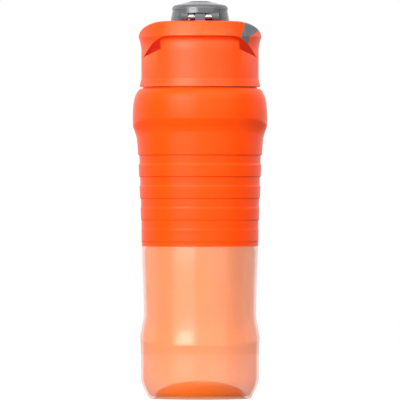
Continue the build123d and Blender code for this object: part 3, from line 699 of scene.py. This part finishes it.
# %% Turn the section
def lathe(name, section, segments, height_at):
    """Spins a section of (radius, height) in mm round Z. Points on the axis become one vertex."""
    points, faces, rings = [], [], []
    for radius, height in section:
        if radius == 0.0:
            rings.append([len(points)])
            points.append((0.0, 0.0, height * MM))
            continue
        ring = []
        for k in range(segments):
            angle = 2 * math.pi * k / segments
            ring.append(len(points))
            points.append(
                (
                    radius * MM * math.cos(angle),
                    radius * MM * math.sin(angle),
                    height_at(height, angle) * MM,
                )
            )
        rings.append(ring)
    for lower, upper in zip(rings, rings[1:]):
        for k in range(segments):
            j = (k + 1) % segments
            if len(lower) == 1:
                faces.append((lower[0], upper[j], upper[k]))
            elif len(upper) == 1:
                faces.append((lower[k], lower[j], upper[0]))
            else:
                faces.append((lower[k], lower[j], upper[j], upper[k]))
    mesh = bpy.data.meshes.new(name)
    mesh.from_pydata(points, [], faces)
    mesh.validate()
    piece = bpy.data.objects.new(name, mesh)
    scene.collection.objects.link(piece)
    return piece


SOFT_ANGLE = 32.0


def soften(piece, degrees=SOFT_ANGLE):
    """Smooth shading that keeps corners sharper than an angle."""
    mesh = piece.data
    mesh.shade_smooth()
    mesh.set_sharp_from_angle(angle=math.radians(degrees))


def body_height(height, angle):
    """The height of a ring of the body at this angle."""
    front = stretch(height, SIDE_HEIGHTS, FRONT_HEIGHTS)
    return height + (front - height) * dip(angle, FOOT_START)


squeeze_body = lathe("squeeze_body", BODY_SECTION, BODY_SEGMENTS, body_height)
soften(squeeze_body)
squeeze_body.data.materials.append(body_frosted)
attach(squeeze_body, "bottle")
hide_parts("bottle")
print("body:", len(squeeze_body.data.polygons), "faces")

# %% [markdown]
# ## The neck thread
# The lid screws onto a single thread of one and a half turns. A thread is a section that follows
# a path, so Geometry Nodes make it: a spiral, a trapezoid carried along it, and caps on its ends.
# The tree is turned into a plain mesh at once, and nothing is left live on the piece.


# %% Helpers for Geometry Nodes
def new_maker(name, inputs):
    """A Geometry Nodes tree with named inputs and one geometry output."""
    tree = bpy.data.node_groups.new(name, "GeometryNodeTree")
    tree.is_modifier = True
    for label, kind, value in inputs:
        socket = tree.interface.new_socket(name=label, in_out="INPUT", socket_type=kind)
        if value is not None:
            socket.default_value = value
    tree.interface.new_socket(
        name="Geometry", in_out="OUTPUT", socket_type="NodeSocketGeometry"
    )
    return tree, place(tree, "NodeGroupInput"), place(tree, "NodeGroupOutput")


def run_maker(name, tree, values):
    """Runs a tree once with these inputs and returns its result as a plain mesh object."""
    holder = bpy.data.objects.new(name + "_maker", bpy.data.meshes.new(name + "_maker"))
    scene.collection.objects.link(holder)
    modifier = holder.modifiers.new(name, "NODES")
    modifier.node_group = tree
    for item in tree.interface.items_tree:
        if item.item_type == "SOCKET" and item.in_out == "INPUT" and item.name in values:
            modifier[item.identifier] = values[item.name]
    holder.update_tag()
    graph = bpy.context.evaluated_depsgraph_get()
    mesh = bpy.data.meshes.new_from_object(holder.evaluated_get(graph))
    mesh.name = name
    piece = bpy.data.objects.new(name, mesh)
    scene.collection.objects.link(piece)
    holder.modifiers.clear()
    bpy.data.objects.remove(holder)
    return piece


INT, MATERIAL = "NodeSocketInt", "NodeSocketMaterial"
print("geometry helpers ready")

# %% The thread tree
thread_tree, t_in, t_out = new_maker(
    "screw_thread",
    [
        ("Turns", FLOAT, 1.5),
        ("Lead", FLOAT, 0.005),
        ("Radius", FLOAT, 0.030),
        ("Foot Width", FLOAT, 0.0022),
        ("Crest Width", FLOAT, 0.0011),
        ("Depth", FLOAT, 0.0013),
        ("Start Height", FLOAT, 0.2),
        ("Material", MATERIAL, None),
    ],
)
spiral = place(
    thread_tree,
    "GeometryNodeCurveSpiral",
    {
        "Resolution": 120,
        "Rotations": t_in.outputs["Turns"],
        "Start Radius": t_in.outputs["Radius"],
        "End Radius": t_in.outputs["Radius"],
        "Height": math_node(
            thread_tree, "MULTIPLY", t_in.outputs["Turns"], t_in.outputs["Lead"]
        ),
    },
)
section_curve = place(
    thread_tree,
    "GeometryNodeCurvePrimitiveQuadrilateral",
    {
        "Bottom Width": t_in.outputs["Foot Width"],
        "Top Width": t_in.outputs["Crest Width"],
        "Height": t_in.outputs["Depth"],
        "Offset": 0.0,
    },
    mode="TRAPEZOID",
)
swept = place(
    thread_tree,
    "GeometryNodeCurveToMesh",
    {"Curve": spiral.outputs[0], "Profile Curve": section_curve.outputs[0], "Fill Caps": True},
)
raise_it = place(
    thread_tree, "ShaderNodeCombineXYZ", {"Z": t_in.outputs["Start Height"]}
).outputs[0]
lifted = place(
    thread_tree,
    "GeometryNodeTransform",
    {"Geometry": swept.outputs[0], "Translation": raise_it},
)
real = place(thread_tree, "GeometryNodeRealizeInstances", {0: lifted.outputs[0]})
painted = place(
    thread_tree,
    "GeometryNodeSetMaterial",
    {"Geometry": real.outputs[0], "Material": t_in.outputs["Material"]},
)
thread_tree.links.new(painted.outputs[0], t_out.inputs["Geometry"])

NECK_RADIUS, THREAD_DEPTH = 30.2, 1.3
THREAD_TURNS, THREAD_LEAD, THREAD_START = 1.5, 5.0, 199.8
SUNK = 0.4  # how deep the thread's root is sunk into the neck, so that no gap shows

neck_thread = run_maker(
    "neck_thread",
    thread_tree,
    {
        "Turns": THREAD_TURNS,
        "Lead": THREAD_LEAD * MM,
        "Radius": (NECK_RADIUS + (THREAD_DEPTH - SUNK) / 2) * MM,
        "Depth": (THREAD_DEPTH + SUNK) * MM,
        "Start Height": THREAD_START * MM,
        "Material": body_frosted,
    },
)
thread_reach = max(math.hypot(v.co.x, v.co.y) for v in neck_thread.data.vertices)
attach(neck_thread, "bottle")
print("thread reaches", round(thread_reach / MM, 2), "mm, faces", len(neck_thread.data.polygons))

# %% [markdown]
# ## The grip sleeve
# The sleeve is the main shape of the bottle, and it follows a rule: rings of one pitch, each with
# a soft step at its top and a sharp groove at its foot, that get shallower towards the bottom.
# Above them the shoulder swells out over a slanting underside, and that underside climbs on the
# front and the back to leave a wide shallow window. Geometry Nodes can say all that directly. A
# grid is bent round into a tube, and the radius of every vertex is worked out from its height and
# angle, so a change of pitch or count rebuilds the whole sleeve. A lining on the bottle's side
# closes it, with a thin lip below the sleeve's edge and a low ring under the lid.

# %% Inputs of the sleeve tree
sleeve_tree, s_in, s_out = new_maker(
    "ribbed_sleeve",
    [
        ("Segments", INT, 201),
        ("Rows", INT, 411),
        ("Bottom", FLOAT, 0.0978),
        ("Top", FLOAT, 0.1963),
        ("Rib Top", FLOAT, 0.1614),
        ("Rib Pitch", FLOAT, 0.0137),
        ("Rib Height", FLOAT, 0.0071),
        ("Step Length", FLOAT, 0.0015),
        ("Groove Length", FLOAT, 0.00035),
        ("Top Depth", FLOAT, 0.00090),
        ("Bottom Depth", FLOAT, 0.00018),
        ("Window Start", FLOAT, 0.70),
        ("Crease Rise", FLOAT, 0.0038),
        ("Edge Rise", FLOAT, 0.0050),
        ("Material", MATERIAL, None),
    ],
)


def s_math(operation, first, second=0.0):
    """The output of a Math node in the sleeve's tree."""
    return math_node(sleeve_tree, operation, first, second)


def s_range(value, low, high, to_low=0.0, to_high=1.0, smooth=False):
    """A clamped mapping from one span to another."""
    node = place(
        sleeve_tree,
        "ShaderNodeMapRange",
        {"Value": value, "From Min": low, "From Max": high, "To Min": to_low, "To Max": to_high},
        clamp=True,
    )
    if smooth:
        node.interpolation_type = "SMOOTHSTEP"
    return node.outputs["Result"]


def s_grid(rows):
    """A grid whose X is the turn round the bottle and whose Y is the share of the way up."""
    size = {"Size X": 2 * math.pi, "Size Y": 1.0}
    count = {"Vertices X": s_in.outputs["Segments"], "Vertices Y": rows}
    return place(sleeve_tree, "GeometryNodeMeshGrid", size | count).outputs["Mesh"]


def s_bend(flat, distance, up):
    """Bends a grid into a tube, at a distance from the axis and a height."""
    spots = {
        "X": s_math("MULTIPLY", distance, s_math("COSINE", turn)),
        "Y": s_math("MULTIPLY", distance, s_math("SINE", turn)),
        "Z": up,
    }
    moved = place(sleeve_tree, "ShaderNodeCombineXYZ", spots).outputs[0]
    bent = place(sleeve_tree, "GeometryNodeSetPosition", {"Geometry": flat, "Position": moved})
    return bent.outputs[0]


where = place(
    sleeve_tree,
    "ShaderNodeSeparateXYZ",
    {0: place(sleeve_tree, "GeometryNodeInputPosition").outputs[0]},
)
turn = where.outputs["X"]
share = s_math("ADD", where.outputs["Y"], 0.5)
height = s_math(
    "ADD",
    s_in.outputs["Bottom"],
    s_math("MULTIPLY", share, s_math("SUBTRACT", s_in.outputs["Top"], s_in.outputs["Bottom"])),
)
print("sleeve tree has", len(sleeve_tree.nodes), "nodes so far")

# %% The window: how far the underside of the shoulder climbs at this angle
CREASE, SHOULDER_EDGE = 164.0, 172.2  # heights at the sides, mm
aside = s_math("ABSOLUTE", s_math("COSINE", turn))
past = s_range(aside, s_in.outputs["Window Start"], 1.0)
open_share = s_math("SQRT", s_math("SUBTRACT", 1.0, s_math("MULTIPLY", past, past)))
crease_at = s_math(
    "ADD", CREASE * MM, s_math("MULTIPLY", open_share, s_in.outputs["Crease Rise"])
)
edge_at = s_math(
    "ADD", SHOULDER_EDGE * MM, s_math("MULTIPLY", open_share, s_in.outputs["Edge Rise"])
)
rib_top = s_in.outputs["Rib Top"]
below = s_range(height, s_in.outputs["Bottom"], rib_top, s_in.outputs["Bottom"], rib_top)
to_crease = s_range(
    height, rib_top, crease_at, 0.0, s_math("SUBTRACT", CREASE * MM, rib_top)
)
to_edge = s_range(height, crease_at, edge_at, 0.0, (SHOULDER_EDGE - CREASE) * MM)
to_top = s_range(
    height,
    edge_at,
    s_in.outputs["Top"],
    0.0,
    s_math("SUBTRACT", s_in.outputs["Top"], SHOULDER_EDGE * MM),
)
level = s_math("ADD", s_math("ADD", below, to_crease), s_math("ADD", to_edge, to_top))
print("window heights set")

# %% The smooth section that the rings are cut into: height and radius in mm
SLEEVE_SECTION = [
    (97.8, 37.0), (98.1, 37.12), (104.0, 37.14), (110.6, 37.33), (119.5, 37.68), (127.1, 38.00),
    (132.8, 38.30), (141.1, 38.66), (146.8, 38.90), (155.0, 39.36), (161.4, 39.72),
    (162.5, 39.86), (164.0, 40.04), (165.2, 40.18), (167.7, 40.80), (170.2, 41.72),
    (171.8, 42.34), (172.5, 42.48), (176.6, 42.68), (180.0, 42.66), (182.9, 42.57),
    (186.7, 42.22), (189.2, 41.80), (191.8, 41.05), (194.3, 39.85), (195.6, 38.93),
    (196.3, 38.1),
]
LOW_R, HIGH_R = 30.0, 45.0
LOW_Z, HIGH_Z = 97.8, 196.3


def load_curve(node, points):
    """Sets a Float Curve's points, joined by straight lines."""
    curve = node.mapping.curves[0]
    while len(curve.points) > 2:
        curve.points.remove(curve.points[-1])
    curve.points[0].location = points[0]
    curve.points[1].location = points[-1]
    for point in points[1:-1]:
        curve.points.new(*point)
    for point in curve.points:
        point.handle_type = "VECTOR"
    node.mapping.update()


section_node = place(
    sleeve_tree,
    "ShaderNodeFloatCurve",
    {"Value": s_range(level, LOW_Z * MM, HIGH_Z * MM)},
)
load_curve(
    section_node,
    [((z - LOW_Z) / (HIGH_Z - LOW_Z), (r - LOW_R) / (HIGH_R - LOW_R)) for z, r in SLEEVE_SECTION],
)
smooth_radius = s_range(section_node.outputs[0], 0.0, 1.0, LOW_R * MM, HIGH_R * MM)
print("section curve has", len(section_node.mapping.curves[0].points), "points")

# %% The rings: a soft step above each, a sharp groove below it
RIB_COUNT = 5


def rib_level(number):
    """The height of a rib's top, counted down from the highest one, which is 0."""
    return s_math("SUBTRACT", rib_top, s_math("MULTIPLY", s_in.outputs["Rib Pitch"], number))


fall = s_math("SUBTRACT", rib_top, level)
into = s_math("FLOORED_MODULO", fall, s_in.outputs["Rib Pitch"])
half_groove = s_math("MULTIPLY", s_in.outputs["Groove Length"], 0.5)
groove_low = s_math("SUBTRACT", s_in.outputs["Rib Height"], half_groove)
groove_high = s_math("ADD", s_in.outputs["Rib Height"], half_groove)
in_recess = s_range(into, groove_low, groove_high)
step_start = s_math("SUBTRACT", s_in.outputs["Rib Pitch"], s_in.outputs["Step Length"])
rising = s_range(into, step_start, s_in.outputs["Rib Pitch"], 1.0, 0.0, smooth=True)
recessed = s_math("MULTIPLY", in_recess, rising)
on_ribs = s_math("LESS_THAN", level, rib_top)
above_last = s_math("GREATER_THAN", level, rib_level(RIB_COUNT))
depth_here = s_range(
    level,
    rib_level(RIB_COUNT - 1),
    rib_top,
    s_in.outputs["Bottom Depth"],
    s_in.outputs["Top Depth"],
)
cut = s_math(
    "MULTIPLY",
    s_math("MULTIPLY", depth_here, recessed),
    s_math("MULTIPLY", on_ribs, above_last),
)
radius = s_math("SUBTRACT", smooth_radius, cut)
print("sleeve tree has", len(sleeve_tree.nodes), "nodes")

# %% Bend the grid into the outer skin
outer_skin = s_bend(s_grid(s_in.outputs["Rows"]), radius, height)
print("outer skin made")

# %% The lining: radius and height in mm, round the lower lip, up the bottle and over the top
LINING = [
    (36.82, 97.8), (36.92, 97.55), (36.92, 96.6), (36.7, 96.5), (36.68, 97.7), (35.5, 97.75),
    (35.4, 98.2), (35.4, 99.0), (35.55, 119.8), (37.25, 160.9), (38.45, 164.9), (40.1, 170.1),
    (41.05, 176.0), (40.95, 182.1), (39.95, 187.6), (38.25, 191.5), (36.2, 193.8), (34.0, 194.5),
    (31.5, 194.7), (30.4, 194.9), (30.4, 197.1), (30.6, 197.25), (36.1, 197.25), (36.3, 197.1),
    (36.35, 196.35), (37.6, 196.3), (38.1, 196.3),
]
LINING_ROWS = len(LINING)
LINING_LOW_Z, LINING_HIGH_Z = 96.0, 198.0
WELD = 2e-5  # joins the outer skin to the lining, in metres


def lining_curve(column, low, high):
    """A Float Curve that reads one column of the lining against the row's share."""
    node = place(sleeve_tree, "ShaderNodeFloatCurve", {"Value": share})
    load_curve(
        node,
        [
            (k / (LINING_ROWS - 1), (point[column] - low) / (high - low))
            for k, point in enumerate(LINING)
        ],
    )
    return s_range(node.outputs[0], 0.0, 1.0, low * MM, high * MM)


lining_r = lining_curve(0, LOW_R, HIGH_R)
lining_z = lining_curve(1, LINING_LOW_Z, LINING_HIGH_Z)
lining_skin = s_bend(s_grid(LINING_ROWS), lining_r, lining_z)
lining_out = place(sleeve_tree, "GeometryNodeFlipFaces", {"Mesh": lining_skin})
joined = place(sleeve_tree, "GeometryNodeJoinGeometry")
sleeve_tree.links.new(lining_out.outputs[0], joined.inputs[0])
sleeve_tree.links.new(outer_skin, joined.inputs[0])
welded = place(
    sleeve_tree, "GeometryNodeMergeByDistance", {"Geometry": joined.outputs[0], "Distance": WELD}
)
sleeve_real = place(sleeve_tree, "GeometryNodeRealizeInstances", {0: welded.outputs[0]})
sleeve_paint = place(
    sleeve_tree,
    "GeometryNodeSetMaterial",
    {"Geometry": sleeve_real.outputs[0], "Material": s_in.outputs["Material"]},
)
sleeve_tree.links.new(sleeve_paint.outputs[0], s_out.inputs["Geometry"])
print("lining has", LINING_ROWS, "rows")

# %% Make the sleeve
SLEEVE_SOFT_ANGLE = 40.0

ribbed_sleeve = run_maker("ribbed_sleeve", sleeve_tree, {"Material": sleeve_soft_touch})
soften(ribbed_sleeve, SLEEVE_SOFT_ANGLE)
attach(ribbed_sleeve, "bottle")
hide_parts("grip_sleeve")
widest = max(math.hypot(v.co.x, v.co.y) for v in ribbed_sleeve.data.vertices)
print("sleeve:", len(ribbed_sleeve.data.polygons), "faces, widest radius", round(widest / MM, 2))

# %% [markdown]
# ## The button's spring
# The spring sits between a wall of the lid and the back of the latch slide, and it gets shorter
# when the button is pressed. A rigid coil would stick through the slide, and this coil is rigid:
# a piece of its own, a spiral with a round wire carried along it, laid on its side and moving with
# the lid. It is not made to flatten by the two millimetres that the button travels.

# %% The spring tree
coil_tree, c_in, c_out = new_maker(
    "coil_spring",
    [
        ("Turns", FLOAT, 5.0),
        ("Coil Radius", FLOAT, 0.0027),
        ("Wire Radius", FLOAT, 0.00035),
        ("Length", FLOAT, 0.0072),
        ("Start Y", FLOAT, 0.0219),
        ("Axis Height", FLOAT, 0.2205),
        ("Material", MATERIAL, None),
    ],
)
coil_path = place(
    coil_tree,
    "GeometryNodeCurveSpiral",
    {
        "Resolution": 40,
        "Rotations": c_in.outputs["Turns"],
        "Start Radius": c_in.outputs["Coil Radius"],
        "End Radius": c_in.outputs["Coil Radius"],
        "Height": c_in.outputs["Length"],
    },
)
wire = place(
    coil_tree,
    "GeometryNodeCurvePrimitiveCircle",
    {"Resolution": 14, "Radius": c_in.outputs["Wire Radius"]},
)
coil = place(
    coil_tree,
    "GeometryNodeCurveToMesh",
    {"Curve": coil_path.outputs[0], "Profile Curve": wire.outputs[0], "Fill Caps": True},
)
seat = place(
    coil_tree,
    "ShaderNodeCombineXYZ",
    {"Y": c_in.outputs["Start Y"], "Z": c_in.outputs["Axis Height"]},
)
laid = place(
    coil_tree,
    "GeometryNodeTransform",
    {
        "Geometry": coil.outputs[0],
        "Rotation": (-math.pi / 2, 0.0, 0.0),
        "Translation": seat.outputs[0],
    },
)
coil_real = place(coil_tree, "GeometryNodeRealizeInstances", {0: laid.outputs[0]})
coil_paint = place(
    coil_tree,
    "GeometryNodeSetMaterial",
    {"Geometry": coil_real.outputs[0], "Material": c_in.outputs["Material"]},
)
coil_tree.links.new(coil_paint.outputs[0], c_out.inputs["Geometry"])
print("spring tree has", len(coil_tree.nodes), "nodes")

# %% Make the spring
COIL_SOFT_ANGLE = 50.0

coil_spring = run_maker("coil_spring", coil_tree, {"Material": drawn_steel})
soften(coil_spring, COIL_SOFT_ANGLE)
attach(coil_spring, "lid")
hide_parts("button_spring")
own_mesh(coil_spring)
